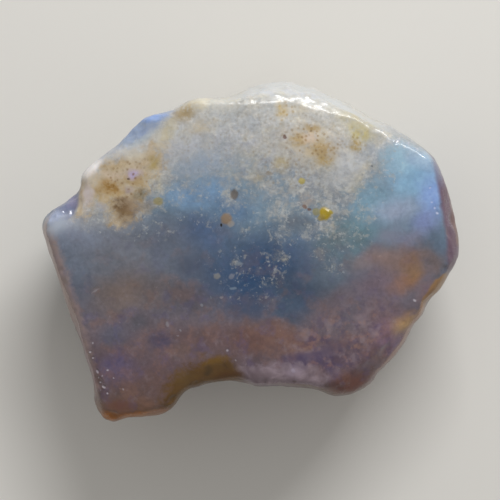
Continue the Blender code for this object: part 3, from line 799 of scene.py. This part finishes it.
x, y, half_x, half_y, turn = FLECK_REGION
for number, (size, low, high, strength, colour) in enumerate(FLECKS):
    aside = add_node(tree, "ShaderNodeMapping", {}, {
        "Vector": place_mm, "Location": (0, NOISE_SHIFT_MM[1] * number, 0), "Rotation": NOISE_TURN})
    speck = add_node(tree, NOISE, {}, {
        "Vector": aside, "Scale": 1 / size, "Detail": 3.0, "Roughness": 0.55})
    amount = add_node(tree, RANGE, EASE, {"Value": speck, "From Min": low, "From Max": high})
    body = lay_cloud(body, bent, (x, y, half_x, half_y, turn, colour, strength, 0.8), held_by=amount)

# %% [markdown]
# ## The bay, the foot, the bevel
#
# These regions come from the masks on the mesh. Each has two colours that a soft noise mixes, and a fraying
# noise nibbles its edge. The bevel's edge stays crisp, because a broken face starts there.

# %% Fill the regions in the clear stone
REGION_FINISHES = {
    # name: colour, second colour, size of the mottle in mm, fraying, strength
    "bay": ("#6C4C16", "#563A10", 1.1, 1.4, 0.97),
    "foot": ("#A26008", "#82501E", 0.9, 1.2, 0.97),
    "amber_chip": ("#9C7A50", "#8A6A4A", 0.6, 1.0, 0.95),
    "pale_lobe": ("#978790", "#72626A", 0.7, 1.3, 0.9),
    "bevel": ("#6E586A", "#684E5A", 1.2, 0.3, 0.95),
    "bevel_rim": ("#8A6E54", "#785E54", 0.7, 0.8, 0.8),
    # Painted glow on the left rim, light enough to lift the shade at its arris.
    "left_rim_painted_glow": ("#9A867E", "#928082", 0.9, 1.0, 0.85),
    "scoop": ("#8394B6", "#8E9CB2", 1.2, 1.8, 0.96),
    "ledge": ("#646482", "#7A84A0", 0.9, 0.8, 0.95),
    # The ridge's pale bluish white is partly the crust's colour and partly a painted highlight.
    "ridge": ("#CCD2DE", "#CBC9C0", 0.9, 0.6, 0.6),
    "ochre": ("#CCBCA2", "#AA8C54", 0.9, 2.4, 0.75),
}
FRAY_SIZE_MM = 0.5
FRAY_ONSET = 0.3
CURD_REACH = (0.32, 0.68)
EDGE_REACH = (0.1, 0.9)
edge_noise = add_node(tree, NOISE, {}, {
    "Vector": bent, "Scale": 1 / FRAY_SIZE_MM, "Detail": 4.0, "Roughness": 0.65})
edge_push = add_node(tree, MATH, SUBTRACT, {0: edge_noise, 1: 0.5})


def fill_region(under, name):
    """Fills one region of the stone with its two mottled colours, out to a frayed edge."""
    first, second, size, fraying, strength = REGION_FINISHES[name]
    curd = add_node(tree, NOISE, {}, {"Vector": bent, "Scale": 1 / size, "Detail": 3.0})
    turns = add_node(tree, RANGE, {}, {
        "Value": curd, "From Min": CURD_REACH[0], "From Max": CURD_REACH[1]})
    colour = add_node(tree, MIX, GLAZE, {FACTOR: turns, UNDER: linear(first), OVER: linear(second)}, GLAZED)
    reach = add_node(tree, RANGE, EASE, {
        "Value": share_of[name], "From Max": FRAY_ONSET, "To Max": fraying})
    pushed = add_node(tree, MATH, MULTIPLY, {0: edge_push, 1: reach})
    ragged = add_node(tree, MATH, ADD, {0: share_of[name], 1: pushed})
    amount = add_node(tree, RANGE, EASE, {
        "Value": ragged, "From Min": EDGE_REACH[0], "From Max": EDGE_REACH[1], "To Max": strength})
    return add_node(tree, MIX, GLAZE, {FACTOR: amount, UNDER: under, OVER: colour}, GLAZED)


for name in ("left_rim_painted_glow", "bay", "foot", "amber_chip", "pale_lobe", "bevel", "bevel_rim"):
    body = fill_region(body, name)

# %% Touch in the accents of those regions
ACCENTS = [
    # name, x, y, half width, half height, turn, colour, strength, softness
    ("bay_gold", -1.5, -8.95, 1.5, 0.6, 0, "#5A3600", 0.9, 0.8),
    ("bay_light", -2.4, -7.9, 1.5, 0.45, 15, "#74551E", 0.8, 0.9),
    ("bay_olive", -4.6, -9.1, 1.2, 0.8, 30, "#664C22", 0.7, 0.9),
    ("bay_grey", -3.0, -8.6, 0.6, 0.45, 60, "#463418", 0.7, 0.8),
    ("foot_red", -9.3, -11.1, 1.5, 0.7, 0, "#6A4436", 0.9, 0.9),
    ("foot_left", -10.9, -11.3, 0.7, 0.9, 0, "#7E6251", 0.8, 0.8),
    ("foot_tan", -6.6, -11.6, 1.4, 0.4, 12, "#84583A", 0.95, 0.8),
    ("lobe_left_shade", 0.7, -9.0, 1.1, 0.8, 0, "#66565C", 0.7, 0.9),
    ("violet_hollow", 5.8, -7.0, 1.6, 0.9, 15, "#514050", 0.75, 0.9),
    ("slate_deep", -4.2, -1.0, 1.8, 1.5, 0, "#444C60", 0.6, 1.0),
    ("steel_foot", -0.2, -4.0, 2.0, 1.5, 0, "#384862", 0.7, 1.0),
    ("haze_low", 9.9, 1.0, 1.8, 1.0, 10, "#848698", 0.7, 1.0),
    ("lobe_shadow", 4.2, -7.5, 2.6, 0.6, 6, "#504460", 0.7, 0.9),
    ("lobe_bright", 3.05, -8.6, 1.2, 0.6, 0, "#9A8A98", 0.8, 1.0),
    ("bevel_top", 13.4, 5.8, 0.6, 1.7, 10, "#80869C", 0.8, 0.8),
    ("bevel_foot", 14.6, -0.4, 1.0, 0.9, 0, "#6D5A68", 0.8, 0.8),
]
for name, *accent in ACCENTS:
    body = lay_cloud(body, frayed, accent)

# %% [markdown]
# ## The sand
#
# The crust is a milky veil with grains of sand on it. In the thick of it the veil hides the stone, and the
# grains only show as a fine pepper of light and dark. Towards its edge the veil opens first, and grains a
# fifth of a millimetre across lie alone on the blue. A fine noise makes them: wherever it rises above a
# level there is a grain, and the level rises as the crust thins out, so it doesn't fade like mist.

# %% Veil the stone with crust
PEPPER_MM = 0.2
CREAM_MM = 2.4
CREAM_REACH = (0.42, 0.66)
CREAM_STRENGTH = 0.5
RAG_MM = 1.5
THIN_CRUST = 0.15
VEIL_REACH = (0.25, 0.9)
VEIL_STRENGTH = 0.95
CRUST_SHADE_SHARE = 0.4
GRAIN_EDGE = 0.1
CRUST_PATCHES = [
    # size in mm, from, to, strength, colour
    (1.8, 0.48, 0.64, 0.36, "#C4B894"),
    (1.3, 0.52, 0.66, 0.40, "#929CA8"),
    (0.8, 0.54, 0.68, 0.50, "#D4D0C6"),
]

rag = add_node(tree, NOISE, {}, {"Vector": bent, "Scale": 1 / RAG_MM, "Detail": 5.0, "Roughness": 0.7})
rag_push = add_node(tree, RANGE, {}, {"Value": rag, "To Min": -1.0, "To Max": 1.0})
some_crust = add_node(tree, RANGE, EASE, {"Value": share_of["crust"], "From Max": THIN_CRUST})
held_push = add_node(tree, MATH, MULTIPLY, {0: rag_push, 1: some_crust})
sand = add_node(tree, MATH, {"operation": "ADD", "use_clamp": True}, {0: share_of["crust"], 1: held_push})
veil = add_node(tree, RANGE, EASE, {
    "Value": sand, "From Min": VEIL_REACH[0], "From Max": VEIL_REACH[1],
    "To Max": VEIL_STRENGTH})

cream_noise = add_node(tree, NOISE, {}, {
    "Vector": bent, "Scale": 1 / CREAM_MM, "Detail": 4.0, "Roughness": 0.6})
cream = add_node(tree, RANGE, EASE, {
    "Value": cream_noise, "From Min": CREAM_REACH[0], "From Max": CREAM_REACH[1],
    "To Max": CREAM_STRENGTH})
crust_colour = height_colours(CRUST_GROUND)
crust_colour = add_node(tree, MIX, GLAZE, {
    FACTOR: cream, UNDER: crust_colour, OVER: linear("#BFB6A2")}, GLAZED)
for size, low, high, strength, colour in CRUST_PATCHES:
    patch_noise = add_node(tree, NOISE, {}, {
        "Vector": frayed, "Scale": 1 / size, "Detail": 4.0, "Roughness": 0.6})
    patch = add_node(tree, RANGE, EASE, {
        "Value": patch_noise, "From Min": low, "From Max": high, "To Max": strength})
    crust_colour = add_node(tree, MIX, GLAZE, {
        FACTOR: patch, UNDER: crust_colour, OVER: linear(colour)}, GLAZED)
pepper = add_node(tree, NOISE, {}, {
    "Vector": place_mm, "Scale": 1 / PEPPER_MM, "Detail": 2.0, "Roughness": 0.6})
for shade in (pepper, rag):
    crust_colour = add_node(tree, MIX, SHADE, {
        FACTOR: CRUST_SHADE_SHARE, UNDER: crust_colour, OVER: shade}, GLAZED)
opal_colour = add_node(tree, MIX, GLAZE, {FACTOR: veil, UNDER: body, OVER: crust_colour}, GLAZED)

# %% Sow coarse grains, then fine ones
GRAINS = [
    # size in mm, levels, colour, opacities. Each pair is without sand, then in the thick of it
    (0.62, (0.62, 0.46), "#A3A3A0", (0.50, 0.35)),
    (0.30, (0.64, 0.47), "#B9BCBD", (0.42, 0.42)),
]
for size, levels, colour, opacities in GRAINS:
    grain = add_node(tree, NOISE, {}, {
        "Vector": place_mm, "Scale": 1 / size, "Detail": 3.0, "Roughness": 0.62})
    level = add_node(tree, RANGE, {}, {"Value": sand, "To Min": levels[0], "To Max": levels[1]})
    opacity = add_node(tree, RANGE, {}, {"Value": sand, "To Min": opacities[0], "To Max": opacities[1]})
    above = add_node(tree, MATH, SUBTRACT, {0: grain, 1: level})
    there = add_node(tree, RANGE, EASE, {"Value": above, "From Max": GRAIN_EDGE})
    held = add_node(tree, MATH, MULTIPLY, {0: there, 1: some_crust})
    amount = add_node(tree, MATH, MULTIPLY, {0: held, 1: opacity})
    opal_colour = add_node(tree, MIX, GLAZE, {
        FACTOR: amount, UNDER: opal_colour, OVER: linear(colour)}, GLAZED)
fine_grain = grain
print("kinds of grain:", len(GRAINS))

# %% [markdown]
# ## Iron stains
#
# Water has carried iron into the crust and left it ochre, tan and rust. Each stain is again a soft
# ellipsoid, but it only takes where a fine noise lets it, because iron follows the pores between the
# grains.

# %% Stain the crust
STAINS = [
    # name, x, y, half width, half height, turn, colour, strength, softness
    ("cream_top", 2.8, 11.6, 5.0, 1.3, -8, "#C2C0B8", 0.6, 0.85),
    ("cream_top_right", 7.6, 9.4, 3.2, 1.5, -28, "#BEB698", 0.85, 0.85),
    ("cream_top_left", -3.6, 10.5, 1.8, 0.9, 10, "#DAD4C0", 0.8, 0.85),
    ("grey_lilac_upper", -4.4, 7.4, 3.0, 2.2, 20, "#A8ABB2", 0.6, 0.85),
    ("blue_through", -3.2, 6.0, 3.8, 1.5, 5, "#8C9CB0", 0.7, 1.0),
    ("white_right", 6.8, 6.4, 2.0, 1.6, -20, "#C2C4C6", 0.8, 1.0),
    ("white_low_right", 6.3, 5.1, 1.8, 1.1, -10, "#BCBDBD", 0.7, 1.0),
    ("beige_column", -11.6, 3.8, 0.7, 1.8, 0, "#BDB4B0", 0.85, 0.85),
    ("column_rim", -12.1, 4.4, 0.3, 1.2, 0, "#A48A6C", 0.8, 0.85),
    ("pink_middle", -9.7, 5.3, 1.3, 0.5, 0, "#C8B6A2", 0.8, 0.85),
    ("ochre_strong", -10.0, 4.5, 1.6, 0.85, -12, "#A68650", 1.0, 0.85),
    ("ochre_dark", -9.9, 4.5, 0.9, 0.5, -15, "#845E16", 0.9, 0.85),
    ("ochre_upper", -9.2, 6.0, 1.5, 0.6, 10, "#C6B496", 0.9, 0.85),
    ("tan_upper", -8.2, 6.7, 1.4, 0.6, 0, "#C9C2B0", 0.8, 0.85),
    ("ochre_right", -6.8, 6.2, 0.6, 1.0, -15, "#A2905C", 0.9, 0.85),
    ("olive_low", -7.8, 3.9, 0.9, 0.5, 20, "#7E7050", 0.9, 0.85),
    ("rust_lower", -9.2, 3.2, 1.0, 0.9, 0, "#583C18", 1.0, 0.9),
    ("rust_foot", -8.9, 2.4, 0.9, 0.8, 0, "#6E5634", 0.95, 0.9),
    ("grey_between", -10.6, 3.1, 0.7, 0.5, 0, "#A3A3AA", 0.8, 0.85),
    ("lilac_heart", -8.2, 5.4, 0.8, 0.55, 0, "#B4A6C4", 1.0, 0.85),
    ("lilac_low", -8.6, 4.2, 0.55, 0.45, 0, "#A0908E", 0.8, 0.85),
    ("tan_upward", -5.9, 8.3, 0.9, 2.0, -28, "#BEB59A", 0.8, 0.95),
    ("tan_top", -4.6, 9.8, 1.7, 1.1, 25, "#A28E68", 0.95, 0.95),
    ("tan_behind", -3.4, 8.8, 1.6, 0.9, 20, "#BCAE92", 0.7, 1.0),
    ("ochre_top_centre", 2.2, 9.9, 0.7, 1.0, 0, "#BEA66E", 0.9, 0.9),
    ("cream_wash_centre", 3.6, 10.0, 2.2, 0.6, 0, "#CFC4AE", 0.5, 0.85),
    ("cream_centre", 4.3, 7.6, 3.6, 2.5, -10, "#C4B496", 0.75, 1.0),
    ("tan_centre_upper", 4.4, 8.6, 0.9, 0.6, 0, "#A88E5C", 0.9, 0.9),
    ("tan_centre_left", 3.4, 7.8, 1.0, 0.8, 0, "#AC9468", 0.9, 0.9),
    ("peach_heart", 4.3, 7.9, 0.8, 0.6, 0, "#CEB8A4", 0.8, 0.85),
    ("ochre_centre", 5.1, 7.1, 1.5, 1.0, -10, "#A68C5A", 0.9, 0.9),
    ("ochre_centre_low", 5.3, 6.4, 0.9, 0.6, 0, "#A8905E", 0.9, 0.9),
    ("ochre_spot_right", 7.45, 7.4, 0.6, 0.85, 0, "#9E8440", 0.95, 0.85),
    ("pale_yellow_right", 7.8, 8.3, 1.4, 0.8, -20, "#C0B47E", 0.9, 0.9),
    ("tan_middle_low", 2.2, 6.1, 0.9, 0.9, 0, "#AC9E7A", 0.8, 0.9),
    ("tan_left_middle", 0.6, 5.2, 0.9, 0.7, 0, "#9C927C", 0.7, 0.9),
    ("brown_haze", 4.0, 3.5, 0.9, 0.7, 0, "#A29488", 0.6, 0.85),
]
PORE_MM = 0.5
PORE_REACH = (0.36, 0.58)
LEAST_STAIN = 0.4

for name in ("ochre", "scoop", "ledge"):
    opal_colour = fill_region(opal_colour, name)
pore_noise = add_node(tree, NOISE, {}, {
    "Vector": place_mm, "Scale": 1 / PORE_MM, "Detail": 4.0, "Roughness": 0.65})
pores = add_node(tree, RANGE, EASE, {
    "Value": pore_noise, "From Min": PORE_REACH[0], "From Max": PORE_REACH[1], "To Min": LEAST_STAIN})
for name, *stain in STAINS:
    opal_colour = lay_cloud(opal_colour, frayed, stain, held_by=pores)

# %% Pepper the crust with rust, then touch in its cream rims, the clear scoop, and painted light on the left edge and ledge
RUST_DOT_MM = 0.32
DOT_REACH = (0.08, 0.46)
RUST_FIELDS = [
    # name, x, y, half width, half height, turn, colour, strength, softness
    ("pepper_all_over", 0.5, 7.5, 11.0, 5.5, 0, "#8F8370", 0.4, 0.6),
    ("pepper_centre", 4.4, 7.6, 3.0, 1.9, -10, "#8E6E3A", 0.8, 0.8),
    ("pepper_top", 2.3, 9.8, 1.4, 1.2, 0, "#A88A50", 0.8, 0.8),
    ("pepper_right", 7.6, 7.8, 1.2, 1.4, 0, "#9C8648", 0.8, 0.8),
    ("pepper_middle", 2.2, 5.4, 2.6, 1.6, 0, "#8C7854", 0.6, 0.8),
    ("pepper_left", -8.6, 4.8, 3.2, 3.0, 0, "#7E5E30", 0.8, 0.8),
]
cell_distance = add_node(tree, "ShaderNodeTexVoronoi", {}, {
    "Vector": mark_place, "Scale": 1 / RUST_DOT_MM}, "Distance")
in_dot = add_node(tree, RANGE, EASE, {
    "Value": cell_distance, "From Min": DOT_REACH[0], "From Max": DOT_REACH[1], "To Min": 1.0, "To Max": 0.0})
rust_dots = add_node(tree, MATH, MULTIPLY, {0: in_dot, 1: pores})
rust_dots = add_node(tree, MATH, MULTIPLY, {0: rust_dots, 1: veil})
for name, *field in RUST_FIELDS:
    opal_colour = lay_cloud(opal_colour, frayed, field, held_by=rust_dots)

CLEAR_ACCENTS = [
    # name, x, y, half width, half height, turn, colour, strength, softness
    # Painted light on the rounded top-left edge, where it faces the lamp.
    ("left_edge_painted_light", -11.4, 5.8, 1.7, 0.7, 40, "#EAE6E6", 1.0, 0.7),
    ("cream_column", -11.5, 4.0, 0.5, 1.3, 0, "#BFB5B4", 0.7, 0.8),
    ("cream_upper", -9.0, 7.0, 2.8, 0.8, 12, "#BFBFBE", 0.6, 0.9),
    ("cream_behind", -6.7, 8.2, 1.1, 0.9, 30, "#BEBCB4", 0.5, 0.9),
    ("cream_inner", -11.0, 5.1, 1.1, 0.8, 0, "#C8BBA6", 0.7, 0.9),
    ("cream_saddle", -2.0, 10.3, 1.6, 0.8, 5, "#CFCEC8", 0.7, 0.9),
    ("rust_shade", -8.5, 3.1, 1.2, 1.0, 0, "#765A38", 0.7, 0.9),
    ("brown_shore", -7.3, 3.1, 0.9, 0.8, 0, "#7A6E62", 0.6, 0.9),
    ("scoop_blue", -6.8, 9.5, 1.6, 0.6, 10, "#8AA4D6", 0.9, 0.8),
    ("scoop_edge", -9.4, 8.2, 2.4, 0.4, 50, "#A6A4B6", 0.6, 0.8),
    ("scoop_pale", -10.2, 6.95, 1.2, 0.4, 30, "#BCBEC4", 0.8, 0.8),
    ("scoop_shore", -7.6, 7.9, 1.8, 0.35, 35, "#A9B0B4", 0.7, 0.8),
    ("corner_pale", -13.8, 1.8, 2.2, 1.2, 20, "#AEB6C4", 0.95, 1.0),
    # Painted light on the ledge's bevel that faces up towards the lamp, over its pale lilac colour.
    ("ledge_pale_painted_light", -14.0, 2.35, 1.1, 0.5, 25, "#A4AEC6", 0.9, 0.8),
    ("ledge_violet", -12.7, 3.5, 0.6, 0.7, 0, "#8682A0", 0.8, 0.8),
]

for name, *accent in CLEAR_ACCENTS:
    opal_colour = lay_cloud(opal_colour, frayed, accent)
# The ridge is painted pale bluish white: partly the crust, partly a painted highlight.
opal_colour = fill_region(opal_colour, "ridge")

# %% Dot in the small marks
MARK_DEPTH_MM = 1.2
MARK_REACH = 1.35
MARK_SOFTNESS = 0.45
for name, x, y, half_x, half_y, turn, height, colour, strength in SMALL_MARKS:
    mark = (x, y, half_x * MARK_REACH, half_y * MARK_REACH, turn, colour, strength, MARK_SOFTNESS)
    opal_colour = lay_cloud(opal_colour, mark_place, mark, MARK_DEPTH_MM)
print("nodes in all:", len(tree.nodes))

# %% [markdown]
# ## Painted rim light
#
# Where the stone turns away at its edge it is thin, and the light that gets through is warm, so that glow is
# painted on each rim as a warm cloud, with a pale painted highlight along the top rim. The mask of how steep
# the surface is already sits on the mesh, so it says where the rims lie, and each is a cloud that only takes
# there. The bruises come last: bruised opal is full of tiny cracks, so it turns white, and that whitening
# also stands in for a painted glint on them.

# %% Paint the rims' warm glow and top highlight, and whiten the bruises
CRUSHED_WHITE_AND_GLINT_SHARE = 0.35
RIM_REACH = (0.1, 0.8)
PAINTED_RIM_LIGHT = [
    # name, x, y, half width, half height, turn, colour, strength, softness
    ("rim_left_upper", -14.6, 0.6, 1.6, 2.6, 15, "#9C8682", 0.9, 0.6),
    ("rim_left", -13.2, -3.2, 1.8, 4.2, 20, "#947C76", 0.9, 0.6),
    ("rim_left_low", -11.8, -7.6, 1.6, 3.6, 12, "#907A7E", 0.9, 0.6),
    ("rim_right_low", 10.8, -6.2, 2.4, 5.0, -40, "#9C7868", 0.8, 0.6),
    ("rim_lobe", 5.5, -9.7, 5.0, 1.4, 5, "#705A52", 0.8, 0.6),
    # A pale highlight painted along the top rim.
    ("top_rim_painted_highlight", 3.5, 11.0, 9.0, 3.0, -15, "#C2C4C4", 0.9, 0.6),
]
rim = add_node(tree, RANGE, EASE, {
    "Value": share_of["wall"], "From Min": RIM_REACH[0], "From Max": RIM_REACH[1]})
for name, *cloud in PAINTED_RIM_LIGHT:
    opal_colour = lay_cloud(opal_colour, place_mm, cloud, held_by=rim)
# Whiten the bruises: bruised opal turns white, and the whitening is also a painted glint.
crushed_white_and_glint = add_node(tree, MATH, MULTIPLY, {0: share_of["bruise_white_and_glint"], 1: CRUSHED_WHITE_AND_GLINT_SHARE})
opal_colour = add_node(tree, MIX, GLAZE, {
    FACTOR: crushed_white_and_glint, UNDER: opal_colour, OVER: linear("#D6D2DC")}, GLAZED)
tree.links.new(opal_colour, shader.inputs["Base Color"])

# %% [markdown]
# ## Gloss and the finest grain
#
# The clear stone is rubbed to a low polish. The sand in the crust breaks the gloss, and so do the broken
# walls, which nobody has rubbed. Scuffs of half a millimetre vary all three. Grains finer than the mesh's
# squares are left to a bump of a few hundredths.

# %% Set the gloss
POLISH_ROUGHNESS = 0.2
CRUST_ROUGHNESS = 0.34
WALL_DULLING = 0.16
SCUFF_MM = 0.5
SCUFF_REACH = (0.35, 0.75)
SCUFF_ROUGHNESS = (-0.04, 0.08)
scuff_noise = add_node(tree, NOISE, {}, {
    "Vector": place_mm, "Scale": 1 / SCUFF_MM, "Detail": 4.0, "Roughness": 0.6})
scuffs = add_node(tree, RANGE, EASE, {
    "Value": scuff_noise, "From Min": SCUFF_REACH[0], "From Max": SCUFF_REACH[1],
    "To Min": SCUFF_ROUGHNESS[0], "To Max": SCUFF_ROUGHNESS[1]})
dull = add_node(tree, MATH, SUBTRACT, {0: sand, 1: share_of["ridge"]})
gloss = add_node(tree, RANGE, {}, {"Value": dull, "To Min": POLISH_ROUGHNESS, "To Max": CRUST_ROUGHNESS})
broken = add_node(tree, MATH, {"operation": "MULTIPLY_ADD"}, {0: share_of["wall"], 1: WALL_DULLING, 2: gloss})
tree.links.new(add_node(tree, MATH, ADD, {0: broken, 1: scuffs}), shader.inputs["Roughness"])

# %% Raise the finest grain with bump
GRAIN_BUMP = 0.02 * MM
BUMP_STRENGTH = 0.5
SKIN_SHARE = 0.35
grain_height = add_node(tree, MATH, MULTIPLY, {0: fine_grain, 1: sand})
skin_height = add_node(tree, MATH, MULTIPLY, {0: scuff_noise, 1: SKIN_SHARE})
height = add_node(tree, MATH, ADD, {0: grain_height, 1: skin_height})
bump = add_node(tree, "ShaderNodeBump", {}, {
    "Height": height, "Strength": BUMP_STRENGTH, "Distance": GRAIN_BUMP})
tree.links.new(bump, shader.inputs["Normal"])

fine.materials.clear()
fine.materials.append(opal)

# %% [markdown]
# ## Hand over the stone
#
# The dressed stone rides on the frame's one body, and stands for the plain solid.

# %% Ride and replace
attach(stone, "root")
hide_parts("opal")
